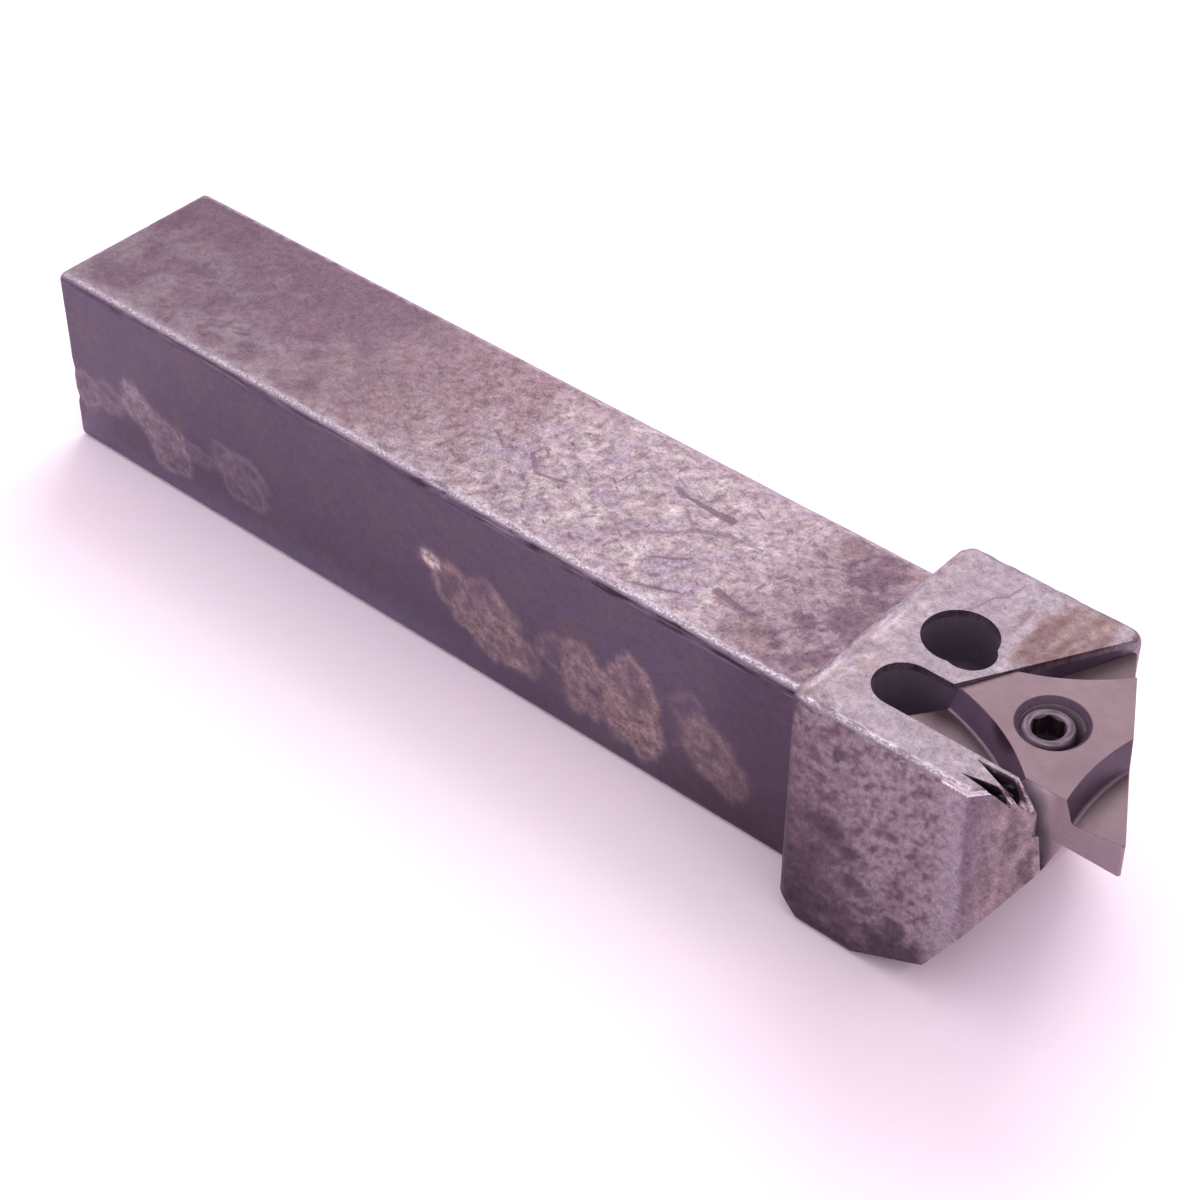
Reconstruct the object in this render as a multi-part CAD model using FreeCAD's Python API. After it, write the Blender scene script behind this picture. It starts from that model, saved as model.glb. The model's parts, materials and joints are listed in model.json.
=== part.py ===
import FreeCAD, Part
import math
import os

from FreeCAD import Placement, Rotation, Vector

# A right-hand turning tool: a steel holder whose head carries a three-cornered carbide insert.
# Millimetres, +Z up, +X along the shank towards the cutting tip.
# The origin is the middle of the shank's base, the face that the tool post clamps.

# Holder: a square shank milled out of a larger square bar, which is left whole as the head
shank_size = 25.4
shank_length = 120.4
head_size = 31.75
front_flat = 3.79
edge_round = 1.0
shank_end_round = 0.85
head_corner_round = 2.0

# Chin: the underside of the head slopes back from the tip, right across the holder
chin_ahead = 34.42
chin_lean = 29.3

# Dubbed corners of the head's base on the near side: how far each cut reaches ahead, in and up
heel_behind_chin = 7.3
heel_ahead_of_chin = 2.8
heel_inward = 5.0
rear_heel_ahead = 3.8
rear_heel_inward = 3.6
rear_heel_up = 4.0

# Bevel: the near front corner of the head is cut off at an angle, with a little draft
bevel_start = 22.1
bevel_turn = 48.5
bevel_draft = 3.7

# Seat: everything in the pocket is drawn in the seat's own frame, which leans to the near side
tip_ahead = 36.25
cheek_thickness = 5.2125
insert_sink = 0.45
seat_lean = 2.5
near_wall_gap = 1.05
front_setback = 0.8
wall_clearance = 0.02

# Torn front of the near cheek: places ahead of the head's rear and in from the near side
crush_start = (23.2, 1.35)
crush_turn = -18.4
crush_fall = 56.0
chip_ahead = 27.0
chip_foot = 25.3
# Each gouge: where it starts, where it runs out, its width and depth there and how far its root leans in
pocket_gouge = ((19.7, 4.65), (28.3, 3.0), 3.9, 3.75, 0.85)
outer_gouge = ((19.6, 2.0), (27.0, 2.15), 2.6, 3.25, 1.5)

# Insert: a triangle with three ground corners
inscribed_circle = 15.875
insert_thickness = 6.35
nose_radius = 0.3
insert_bore = 6.6
bore_chamfer = 0.6
rake_tip_depth = 1.95
rake_wall_depth = 3.2
rake_wall_slant = 17.0
grinding_wheel_radius = 25.0
rake_foot_round = 0.4
# Each corner: how far its ground wall stands inside the inscribed circle, and the turn of that wall
cutting_corner = (1.29, -6.3)
inner_corner = (2.74, 0.5)
far_corner = (1.44, 0.4)

# Seat plate under the insert
seat_thickness = 4.76
seat_inset = 0.3
seat_corner_round = 1.6
seat_nose_setback = 6.2
seat_nose_round = 1.5
seat_nose_turn = -50.0
seat_nose_lean = 20.0
seat_nose_proud = 0.35

# Lock pin: its head is off centre, so half a turn presses the insert into the pocket or lets it go
pin_head_play = 0.43
pin_throw = 0.22
pin_head_clearance = 0.04
pin_sink = 0.7
pin_rim_round = 0.35
pin_head_run = 0.8
pin_barrel_step = 0.2
pin_collar_step = 0.7
pin_collar_height = 1.2
pin_spigot_radius = 2.3
pin_spigot_length = 2.9
pin_running_clearance = 0.05
pin_end_chamfer = 0.3
hex_across_flats = 3.175
hex_depth = 2.6
hex_lead_in = 0.25

# Relief slot at the pocket's inner corner, as long as an end mill's run
relief_cutter_radius = 3.4
relief_overrun = 0.35
relief_depth = 1.0

# Hole for the clamp screw, with a second, smaller bore beside it for the clamp's heel
clamp_behind_wall = 6.35
clamp_along_wall = -3.45
clamp_recess_radius = 4.15
clamp_recess_depth = 8.0
heel_bore_radius = 2.82
heel_bore_offset = 2.5
heel_bore_turn = -32.0
clamp_thread_radius = 3.45
clamp_thread_length = 16.0
drill_point_angle = 118.0

# Directions that the sides of the insert and of its pocket face, seen from above
wall_turn = 150.0
near_turn = 270.0
front_turn = 30.0
pocket_corner_turn = 210.0

# Derived places
head_rear = shank_length / 2
far_side = shank_size / 2
near_side = far_side - head_size
in_radius = inscribed_circle / 2
half_side = in_radius * math.sqrt(3)
seat_floor = -(insert_thickness + seat_thickness)
beyond = 4 * head_size
tiny = 1e-4
insert_centre = Vector(
    head_rear + tip_ahead - half_side,
    near_side + cheek_thickness + near_wall_gap + in_radius,
    head_size - insert_sink,
)
seat_frame = Placement(insert_centre, Rotation(Vector(1, 0, 0), seat_lean))
pin_head_radius = insert_bore / 2 - pin_head_play
pin_barrel_radius = pin_head_radius + pin_throw + pin_barrel_step
pin_collar_radius = pin_barrel_radius + pin_collar_step
pin_offset = pin_head_play - pin_head_clearance - pin_throw


def polar(distance, turn):
    """A point in the XY plane at a distance and an angle in degrees."""
    angle = math.radians(turn)
    return Vector(distance * math.cos(angle), distance * math.sin(angle), 0)


def prism(points, low, high):
    """A straight block over a polygon of XY points."""
    loop = [Vector(p.x, p.y, low) for p in points]
    face = Part.Face(Part.makePolygon(loop + loop[:1]))
    return face.extrude(Vector(0, 0, high - low))


def cylinder(radius, low, high, centre=Vector(0, 0, 0)):
    """An upright cylinder between two heights."""
    return Part.makeCylinder(radius, high - low, Vector(centre.x, centre.y, low))


def half_space(point, normal):
    """A large block whose face passes through a point and which fills the side that the normal shows."""
    block = Part.makeBox(2 * beyond, 2 * beyond, 2 * beyond, Vector(-beyond, -beyond, 0))
    block.Placement = Placement(point, Rotation(Vector(0, 0, 1), normal))
    return block


def in_seat(shape):
    """A shape drawn in the seat's frame, moved to its place in the holder."""
    moved = shape.copy()
    moved.Placement = seat_frame.multiply(moved.Placement)
    return moved


def edges_where(shape, test):
    """The straight or curved edges whose end points all pass a test."""
    return [edge for edge in shape.Edges if all(test(v.Point) for v in edge.Vertexes)]


def near_value(a, b):
    """Whether two lengths agree."""
    return abs(a - b) < tiny


def meeting(turn_a, reach_a, turn_b, reach_b):
    """Where two lines meet, each given by the direction that it faces and its distance from the origin."""
    a = polar(1, turn_a)
    b = polar(1, turn_b)
    spread = a.x * b.y - a.y * b.x
    return Vector((reach_a * b.y - reach_b * a.y) / spread, (reach_b * a.x - reach_a * b.x) / spread, 0)


def triangle(wall_reach, near_reach, front_reach):
    """The three-sided outline whose sides stand at these distances: inner, cutting and far corner."""
    return [
        meeting(wall_turn, wall_reach, near_turn, near_reach),
        meeting(near_turn, near_reach, front_turn, front_reach),
        meeting(front_turn, front_reach, wall_turn, wall_reach),
    ]


def chin_air(proud=0):
    """The block of air in front of the sloping chin, or of what stands proud of it."""
    lean = math.radians(chin_lean)
    brow = Vector(head_rear + chin_ahead + proud, 0, head_size)
    return half_space(brow, Vector(math.cos(lean), 0, -math.sin(lean)))


def below_plane(behind, ahead, inward):
    """The block below the plane through three places, the third of them farther from the near side."""
    return half_space(behind, (inward - behind).cross(ahead - behind))


def dubbed_corners():
    """The metal ground off the base's two near corners: at the foot of the chin and at the head's rear."""
    near_foot = Vector(head_rear, near_side, 0)
    slope = math.tan(math.radians(chin_lean))
    chin_foot = near_foot + Vector(chin_ahead - head_size * slope, 0, 0)
    heel = below_plane(
        chin_foot - Vector(heel_behind_chin, 0, 0),
        chin_foot + Vector(heel_ahead_of_chin, 0, heel_ahead_of_chin / slope),
        chin_foot + Vector(0, heel_inward, 0),
    )
    rear_heel = below_plane(
        near_foot + Vector(0, 0, rear_heel_up),
        near_foot + Vector(rear_heel_ahead, 0, 0),
        near_foot + Vector(0, rear_heel_inward, 0),
    )
    return [heel, rear_heel]


def shank():
    """The square bar behind the head, its long edges and rear end rounded."""
    into_head = head_corner_round + edge_round
    bar = Part.makeBox(
        shank_length + into_head,
        shank_size,
        shank_size,
        Vector(-shank_length / 2, -shank_size / 2, 0),
    )
    rear = -shank_length / 2
    long_edges = [e for e in bar.Edges if abs(e.tangentAt(e.FirstParameter).x) > 0.9]
    bar = bar.makeFillet(edge_round, long_edges)
    return bar.makeFillet(shank_end_round, edges_where(bar, lambda p: near_value(p.x, rear)))


def head_blank():
    """The whole head before its pocket: bar section, stepped front, bevelled corner and chin."""
    middle = Vector(insert_centre.x, insert_centre.y, 0)
    front_reach = in_radius - front_setback
    front = middle + meeting(front_turn, front_reach, 90, far_side - front_flat - middle.y)
    outline = [
        Vector(head_rear, near_side, 0),
        middle + meeting(front_turn, front_reach, near_turn, middle.y - near_side),
        front,
        Vector(front.x, far_side, 0),
        Vector(head_rear, far_side, 0),
    ]
    blank = prism(outline, 0, head_size)
    turn = math.radians(bevel_turn)
    draft = math.radians(bevel_draft)
    bevel_point = Vector(head_rear + bevel_start, near_side, head_size)
    bevel_normal = Vector(
        math.sin(turn) * math.cos(draft),
        -math.cos(turn) * math.cos(draft),
        math.sin(draft),
    )
    blank = blank.cut(half_space(bevel_point, bevel_normal))
    blank = blank.cut(chin_air())
    corners = [
        edge
        for edge in blank.Edges
        if abs(edge.tangentAt(edge.FirstParameter).z) > 0.99
        and (near_value(edge.Vertexes[0].X, head_rear) or near_value(edge.Vertexes[0].Y, far_side))
    ]
    blank = blank.makeFillet(head_corner_round, corners)
    rims = [
        edge
        for edge in blank.Edges
        if all(near_value(v.Z, head_size) for v in edge.Vertexes)
        or all(near_value(v.Z, 0) for v in edge.Vertexes)
    ]
    return blank.makeFillet(edge_round, rims).cut(dubbed_corners())


def pocket():
    """The room for insert and seat plate: open to the front, closed by the far wall and the near wall."""
    wall_reach = in_radius + wall_clearance
    near_y = -(in_radius + near_wall_gap)
    outline = triangle(wall_reach, -near_y, beyond)
    slot_middle = near_y + relief_cutter_radius
    slot_far = near_y + 2 * relief_cutter_radius
    slot_start = Vector(-half_side - relief_overrun, near_y, 0)
    slot_end = meeting(wall_turn, wall_reach, -near_turn, slot_far)
    room = prism([slot_start, outline[1], outline[2], slot_end], seat_floor, beyond)
    slot_floor = seat_floor - relief_depth
    run = [
        slot_start,
        Vector(slot_end.x, near_y, 0),
        slot_end,
        Vector(slot_start.x, slot_far, 0),
    ]
    ends = [
        cylinder(relief_cutter_radius, slot_floor, beyond, Vector(x, slot_middle, 0))
        for x in (slot_start.x, slot_end.x)
    ]
    return room.fuse(ends + [prism(run, slot_floor, beyond)]).removeSplitter()


def wedge(tip, corners):
    """A pointed block, from its tip to the three corners of its blunt end."""
    loops = [corners] + [[tip, corners[k], corners[(k + 1) % 3]] for k in range(3)]
    block = Part.Solid(Part.Shell([Part.Face(Part.makePolygon(loop + loop[:1])) for loop in loops]))
    return block if block.Volume > 0 else block.reversed()


def on_head_top(ahead, inward):
    """A place on the head's top, ahead of its rear and in from the near side."""
    return Vector(head_rear + ahead, near_side + inward, head_size)


def gouge(start, end, width, depth, root_lean):
    """A pointed groove in the head's top that widens and deepens up to its end."""
    lift = Vector(0, 0, insert_sink)
    side = Vector(0, width / 2, 0)
    rim = on_head_top(*end) + lift
    root = on_head_top(*end) + Vector(0, root_lean, -depth)
    return wedge(on_head_top(*start) + lift / 4, [rim + side, rim - side, root])


def torn_cheek():
    """The metal missing from the near cheek's front: a crushed slope, two gouges and a chipped end."""
    turn = math.radians(crush_turn)
    fall = math.radians(crush_fall)
    slope = Vector(math.cos(turn) * math.sin(fall), math.sin(turn) * math.sin(fall), math.cos(fall))
    cheek = Part.makeBox(
        beyond,
        cheek_thickness + near_wall_gap + beyond,
        beyond,
        Vector(head_rear, near_side - beyond, chip_foot),
    )
    crush = half_space(on_head_top(*crush_start), slope).common(cheek)
    chip = half_space(Vector(head_rear + chip_ahead, 0, 0), Vector(1, 0, 0)).common(cheek)
    return [crush, chip, gouge(*pocket_gouge), gouge(*outer_gouge)]


def pin_seat():
    """The stepped bore below the seat plate that the lock pin turns in."""
    axis = polar(pin_offset, pocket_corner_turn)
    collar_low = seat_floor - pin_collar_height - 2 * pin_running_clearance
    bore_low = collar_low - pin_spigot_length - pin_running_clearance
    collar_room = cylinder(pin_collar_radius + 2 * pin_running_clearance, collar_low, seat_floor + 1, axis)
    bore = cylinder(pin_spigot_radius + pin_running_clearance, bore_low, seat_floor, axis)
    return collar_room.fuse(bore)


def clamp_hole():
    """The recess, the heel bore beside it and the tapped hole with its drill point."""
    axis = (
        insert_centre
        + polar(in_radius + clamp_behind_wall, wall_turn)
        + polar(clamp_along_wall, wall_turn - 90)
    )
    recess_low = head_size - clamp_recess_depth
    thread_low = recess_low - clamp_thread_length
    point_length = clamp_thread_radius / math.tan(math.radians(drill_point_angle / 2))
    recess = cylinder(clamp_recess_radius, recess_low, beyond, axis)
    heel = cylinder(heel_bore_radius, recess_low, beyond, axis + polar(heel_bore_offset, heel_bore_turn))
    tapped = cylinder(clamp_thread_radius, thread_low, recess_low + 1, axis)
    drill_point = Part.makeCone(
        0, clamp_thread_radius, point_length, Vector(axis.x, axis.y, thread_low - point_length)
    )
    return recess.fuse([heel, tapped, drill_point])


def holder():
    """Shank and head as one piece, with the pocket and every hole cut."""
    body = head_blank().fuse(shank())
    body = body.removeSplitter()
    return body.cut([in_seat(pocket()), in_seat(pin_seat()), clamp_hole()] + torn_cheek())


def rake_cutter(wall_inside, turn):
    """The metal that a grinding wheel takes off one corner: a slanting wall and a floor falling to it."""
    reach = in_radius - wall_inside
    slant = grinding_wheel_radius * math.tan(math.radians(rake_wall_slant))
    wheel = Part.makeCone(
        grinding_wheel_radius - slant,
        grinding_wheel_radius + slant,
        2 * grinding_wheel_radius,
        Vector(reach + grinding_wheel_radius, 0, -grinding_wheel_radius),
    )
    fall = math.atan2(rake_wall_depth - rake_tip_depth, half_side - reach)
    floor = Vector(reach, 0, -rake_wall_depth)
    wheel = wheel.cut(half_space(floor, Vector(math.sin(fall), 0, -math.cos(fall))))
    foot = min((e for e in wheel.Edges if e.isClosed()), key=lambda e: e.CenterOfMass.z)
    wheel = wheel.makeFillet(rake_foot_round, [foot])
    wheel.rotate(Vector(0, 0, 0), Vector(0, 0, 1), turn)
    return wheel


def insert():
    """The triangle with its round noses, its bore and a ground rake face at each corner."""
    plate = prism(triangle(in_radius, in_radius, in_radius), -insert_thickness, 0)
    noses = [e for e in plate.Edges if abs(e.tangentAt(e.FirstParameter).z) > 0.9]
    plate = plate.makeFillet(nose_radius, noses)
    bore = cylinder(insert_bore / 2, -insert_thickness, 0)
    mouth = insert_bore / 2 + bore_chamfer
    top_flare = Part.makeCone(insert_bore / 2, mouth, bore_chamfer, Vector(0, 0, -bore_chamfer))
    low_flare = Part.makeCone(mouth, insert_bore / 2, bore_chamfer, Vector(0, 0, -insert_thickness))
    plate = plate.cut([bore, top_flare, low_flare])
    corners = [(cutting_corner, 0), (far_corner, 120), (inner_corner, 240)]
    for (wall_inside, turn), place in corners:
        plate = plate.cut(rake_cutter(wall_inside, turn + place))
    return in_seat(plate)


def ground_nose(corner):
    """All that stands behind the seat plate's ground nose: a round corner and a flat, both leaning back."""
    edge = corner - Vector(seat_nose_setback, 0, 0)
    middle = edge - polar(seat_nose_round, seat_nose_turn)
    round_end = middle + Vector(seat_nose_round, 0, 0)
    outside = edge + polar(beyond / 4, seat_nose_turn - 90)
    arc = Part.Arc(edge, middle + polar(seat_nose_round, seat_nose_turn / 2), round_end).toShape()
    path = [
        round_end,
        Vector(round_end.x, beyond, 0),
        Vector(-beyond, beyond, 0),
        Vector(-beyond, outside.y, 0),
        outside,
        edge,
    ]
    outline = Part.Face(Part.Wire([arc] + Part.makePolygon(path).Edges))
    back = math.tan(math.radians(seat_nose_lean))
    height = 2 * seat_thickness
    outline.translate(Vector(back * seat_thickness, 0, seat_thickness - insert_thickness))
    return outline.extrude(Vector(-back, 0, -1) * (height + seat_thickness))


def seat_plate():
    """The hard plate under the insert, its nose ground back and cut off by the chin."""
    top = -insert_thickness
    free_reach = in_radius - seat_inset
    outline = triangle(in_radius, free_reach, free_reach)
    plate = prism(outline, seat_floor, top)
    upright = [e for e in plate.Edges if abs(e.tangentAt(e.FirstParameter).z) > 0.9]
    nose = max(upright, key=lambda e: e.Vertexes[0].X)
    plate = plate.makeFillet(seat_corner_round, [e for e in upright if not e.isSame(nose)])
    axis = polar(pin_offset, pocket_corner_turn)
    plate = plate.cut(cylinder(pin_barrel_radius + pin_running_clearance, seat_floor, top, axis))
    plate = plate.common(ground_nose(outline[1]))
    return in_seat(plate).cut(chin_air(seat_nose_proud))


def lock_pin():
    """The cam pin: off-centre head with a hexagon socket, barrel, trapped collar and spigot."""
    axis = polar(pin_offset, pocket_corner_turn)
    head_axis = polar(pin_offset + pin_throw, pocket_corner_turn)
    top = -pin_sink
    shoulder = -insert_thickness - pin_head_run
    collar_top = seat_floor - pin_running_clearance
    collar_low = collar_top - pin_collar_height
    spigot_low = collar_low - pin_spigot_length
    head = cylinder(pin_head_radius, shoulder, top, head_axis)
    head = head.makeFillet(pin_rim_round, edges_where(head, lambda p: near_value(p.z, top)))
    barrel = cylinder(pin_barrel_radius, collar_low, shoulder, axis)
    collar = cylinder(pin_collar_radius, collar_low, collar_top, axis)
    spigot = cylinder(pin_spigot_radius, spigot_low, collar_low, axis)
    spigot = spigot.makeChamfer(pin_end_chamfer, edges_where(spigot, lambda p: near_value(p.z, spigot_low)))
    pin = head.fuse([barrel, collar, spigot]).removeSplitter()
    corner = hex_across_flats / math.sqrt(3)
    socket = [head_axis + polar(corner, 60 * k) for k in range(6)]
    lead_in = Part.makeCone(corner - hex_lead_in, corner + hex_lead_in, 2 * hex_lead_in,
                            Vector(head_axis.x, head_axis.y, top - hex_lead_in))
    return in_seat(pin.cut([prism(socket, top - hex_depth, top + 1), lead_in]))


def main():
    """Writes each piece as its own file."""
    os.makedirs("parts", exist_ok=True)
    pieces = {
        "holder": holder(),
        "insert": insert(),
        "seat_plate": seat_plate(),
        "lock_pin": lock_pin(),
    }
    for name, piece in pieces.items():
        solid = piece.Solids[0] if len(piece.Solids) == 1 else piece
        solid.exportStep("parts/" + name + ".step")
        box = solid.BoundBox
        print(name, "valid", solid.isValid(), "solids", len(piece.Solids), "volume %.1f" % solid.Volume)
        print("   X %.2f %.2f  Y %.2f %.2f  Z %.2f %.2f"
              % (box.XMin, box.XMax, box.YMin, box.YMax, box.ZMin, box.ZMax))


main()
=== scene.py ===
import json
import math

import bmesh
import bpy
import numpy as np
from mathutils import Matrix, Vector


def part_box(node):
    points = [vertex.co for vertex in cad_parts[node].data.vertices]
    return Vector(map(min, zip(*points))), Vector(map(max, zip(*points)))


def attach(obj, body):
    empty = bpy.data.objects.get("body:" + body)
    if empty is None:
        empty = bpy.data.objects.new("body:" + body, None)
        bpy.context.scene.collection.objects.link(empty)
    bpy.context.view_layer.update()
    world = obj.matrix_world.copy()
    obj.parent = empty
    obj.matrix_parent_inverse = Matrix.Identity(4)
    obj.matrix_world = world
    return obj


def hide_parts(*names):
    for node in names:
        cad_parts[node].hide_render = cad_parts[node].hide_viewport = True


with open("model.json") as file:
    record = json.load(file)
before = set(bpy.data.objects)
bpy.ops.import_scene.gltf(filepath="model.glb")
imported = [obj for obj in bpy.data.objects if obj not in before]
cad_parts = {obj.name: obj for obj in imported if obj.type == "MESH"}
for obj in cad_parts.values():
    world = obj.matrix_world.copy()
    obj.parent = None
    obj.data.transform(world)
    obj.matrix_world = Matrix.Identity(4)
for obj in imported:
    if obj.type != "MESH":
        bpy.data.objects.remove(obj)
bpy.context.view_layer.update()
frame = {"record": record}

# Dressing of a worn turning tool: a dark steel holder, dented by clamping screws and torn beside the
# pocket, with a ground three-cornered insert, its seat plate and its lock pin.
# The frame is that of the solids: +X along the shank to the cutting tip, +Z up from the base.
# Blender works in metres. Places on the part and sizes of marks are named in millimetres.

MM = 0.001

# Places read from the solids, in millimetres
holder_low, holder_high = (np.array(corner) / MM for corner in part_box("holder"))
mounts = {m["name"]: m for m in frame["record"]["mounts"]}
shank_top = mounts["shank_top"]["pos_m"][2] / MM
far_side = mounts["shank_back"]["pos_m"][1] / MM
shank_near = -far_side
shank_rear = holder_low[0]
head_rear = -shank_rear
head_near = holder_low[1]
head_top = holder_high[2]

pin_axis = [value / MM for value in frame["record"]["behaviour"]["joints"][0]["pos_m"][:2]]

# Planes of the head that its outside follows: a point on each and the direction that it faces
bevel_start = 82.3
head_front = 82.97
bevel_point = np.array([bevel_start, head_near, head_top])
bevel_normal = np.array([0.7474, -0.6613, 0.0645])
chin_point = np.array([94.62, 0, head_top])
chin_normal = np.array([0.8721, 0, -0.4894])
front_point = np.array([head_front, 8.91, 0])
front_normal = np.array([0.8660, 0.5, 0])

# Torn front of the cheek: where it starts along X, and the Y and Z that it lies beyond
tear_start = 79
tear_inner = -13.95
tear_bottom = 24.8

# Spacing of the worn holder's mesh: along the shank, along the head, and across and up
shank_step = 0.68
head_step = 0.46
side_step = 0.54

# Copies of the solids' meshes, in metres: points this close are merged, faces this level become one, and
# a slice takes points this close as lying on it
merge_reach = 1e-6
flat_angle = math.radians(0.5)
slice_reach = 2e-6

# Edges stay sharp above an angle, which is wider where they are eased
smooth_angle = math.radians(30)
eased_angle = math.radians(38)

# How far the peaks of a random field stand out, in its usual spreads
peak = 1.6


def smoothstep(low, high, value):
    """Zero below low, one above high, and an S-curve between: t * t * (3 - 2 * t)."""
    t = np.clip((value - low) / (high - low), 0, 1)
    return t * t * (3 - 2 * t)


def waves(points, wavelength, seed, count=24):
    """Smooth field, about -1 to 1: the mean of sine waves in random directions near one wavelength."""
    draw = np.random.default_rng(seed)
    directions = draw.normal(size=(count, 3))
    directions /= np.linalg.norm(directions, axis=1)[:, None]
    rates = 2 * math.pi / (wavelength * draw.uniform(0.7, 1.5, count))
    phases = draw.uniform(0, 2 * math.pi, count)
    total = np.sin(points @ (directions * rates[:, None]).T + phases).sum(axis=1)
    return total / math.sqrt(count / 2) / peak


def clouds(points, size, seed, octaves=3):
    """Cloudy field, about -1 to 1: waves of one size, of half that size and so on, each weaker by 0.6."""
    shares = 0.6 ** np.arange(octaves)
    fields = [waves(points, size / 2**k, seed + k) for k in range(octaves)]
    return shares @ np.array(fields) / math.sqrt((shares**2).sum())


def from_segment(points, start, end):
    """How far each point lies from the line between two places."""
    start, end = np.array(start, float), np.array(end, float)
    along = end - start
    share = np.clip((points - start) @ along / (along @ along), 0, 1)
    return np.linalg.norm(points - start - share[:, None] * along, axis=1)


def merged(name):
    """A node's mesh with its doubled points merged and its flat faces made whole."""
    bm = bmesh.new()
    bm.from_mesh(bpy.data.objects[name].data)
    bmesh.ops.remove_doubles(bm, verts=bm.verts[:], dist=merge_reach)
    bmesh.ops.dissolve_limit(bm, angle_limit=flat_angle, verts=bm.verts[:], edges=bm.edges[:])
    return bm


def plain_mesh(bm, name):
    """A new mesh without the normals and sharp marks that the solids' mesh brought along."""
    mesh = bpy.data.meshes.new(name)
    bm.to_mesh(mesh)
    bm.free()
    for spare in ("custom_normal", "sharp_edge", "sharp_face"):
        if spare in mesh.attributes:
            mesh.attributes.remove(mesh.attributes[spare])
    return mesh


def gridded_copy(name):
    """A merged copy of a node's mesh, sliced square to X, Y and Z so that its flat faces can carry dents."""
    bm = merged(name)
    slices = [
        np.concatenate([
            np.arange(shank_rear + shank_step, head_rear, shank_step),
            np.arange(head_rear + head_step, holder_high[0], head_step),
        ]),
        np.arange(head_near + side_step, far_side, side_step),
        np.arange(side_step, head_top, side_step),
    ]
    for axis, places in enumerate(slices):
        square = Vector([float(axis == k) for k in range(3)])
        for place in places:
            parts = bm.verts[:] + bm.edges[:] + bm.faces[:]
            point = square * place * MM
            bmesh.ops.bisect_plane(bm, geom=parts, dist=slice_reach, plane_co=point, plane_no=square)
    bmesh.ops.triangulate(bm, faces=bm.faces[:])
    return plain_mesh(bm, name + "_worn")


def worn_edges():
    """The edges that handling has bared: both ends, how far the wear reaches in, and its strength."""
    on_top = 0.55
    near_rim, far_rim, head_rim = shank_near + on_top, far_side - on_top, head_near + on_top
    return [
        ((shank_rear, near_rim, shank_top), (head_rear, near_rim, shank_top), 1.1, 1.0),
        ((shank_rear, far_rim, shank_top), (head_rear, far_rim, shank_top), 1.2, 0.7),
        ((shank_rear, shank_near, 0), (head_rear, shank_near, 0), 0.7, 0.4),
        ((shank_rear, far_side, 0), (head_front, far_side, 0), 0.8, 0.5),
        ((shank_rear, shank_near, 0), (shank_rear, shank_near, shank_top), 1.0, 0.6),
        ((shank_rear, far_side, 0), (shank_rear, far_side, shank_top), 1.0, 0.6),
        ((shank_rear, shank_near, shank_top), (shank_rear, far_side, shank_top), 1.8, 0.9),
        ((shank_rear, shank_near, 0), (shank_rear, far_side, 0), 0.9, 0.5),
        ((head_rear, head_rim, head_top), (bevel_start, head_rim, head_top), 1.1, 1.0),
        ((head_rear, head_near, head_top), (head_rear, far_side, head_top), 1.7, 0.95),
        ((head_rear, far_side, head_top), (head_front, far_side, head_top), 1.2, 0.8),
        ((head_rear, head_near, 3.5), (head_rear, head_near, head_top), 1.1, 0.8),
        ((head_rear, far_side, shank_top), (head_rear, far_side, head_top), 1.2, 0.8),
        ((head_rear + 3.5, head_near, 0), (head_rear + 9.0, head_near, 0), 0.8, 0.45),
        ((bevel_start - 0.8, head_near, head_top), (bevel_start - 0.6, head_near, 5), 1.9, 0.5),
        ((bevel_start, head_near, head_top), (bevel_start + 2, head_near + 1.9, head_top), 1.0, 0.9),
    ]


def edge_wear(points):
    """Strongest wear of any edge near each point: its strength, falling to zero over its reach."""
    wear = np.zeros(len(points))
    for start, end, reach, strength in worn_edges():
        wear = np.maximum(wear, strength * (1 - smoothstep(0, reach, from_segment(points, start, end))))
    return wear


# Chips knocked out of edges: the middle of each, its half length, its reach across and its depth
chips = [
    ((5.2, shank_near, shank_top), 1.9, 1.1, 0.55),
    ((2.4, shank_near, shank_top), 1.2, 0.8, 0.30),
    ((16.6, shank_near, shank_top), 1.5, 0.8, 0.30),
    ((30.5, shank_near, shank_top), 1.8, 0.9, 0.30),
    ((41.0, shank_near, shank_top), 1.2, 0.8, 0.22),
    ((-21.0, shank_near, shank_top), 1.6, 0.7, 0.15),
    ((shank_rear, shank_near, 6.6), 1.0, 0.9, 0.35),
    ((shank_rear, shank_near, 11.0), 1.4, 0.8, 0.20),
    ((64.6, head_near, head_top), 1.5, 1.2, 0.40),
    ((68.4, head_near, head_top), 1.8, 1.0, 0.30),
    ((74.2, head_near, head_top), 1.6, 0.9, 0.28),
]

# Dents pressed into the shank's top: middle, half length, half width, turn and depth
top_dents = [
    ((30.6, 4.9), 3.9, 0.9, -2, 0.20),
    ((43.4, -6.0), 2.6, 0.8, -5, 0.18),
    ((44.3, 6.2), 1.8, 1.8, 0, 0.10),
    ((13.5, -1.4), 2.2, 1.6, 15, 0.14),
    ((34.0, 0.9), 5.5, 0.7, 28, 0.15),
    ((33.6, -4.4), 1.9, 0.7, 35, 0.14),
    ((35.2, -9.6), 2.2, 0.6, 25, 0.14),
    ((22.0, 2.4), 1.6, 1.1, 50, 0.12),
    ((-33.2, -6.5), 1.0, 0.7, 20, 0.12),
    ((-45.2, -0.6), 1.3, 0.5, 10, 0.08),
    ((50.0, 1.6), 2.1, 0.8, -30, 0.12),
    ((38.6, 8.3), 1.6, 0.7, 60, 0.12),
]


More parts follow.
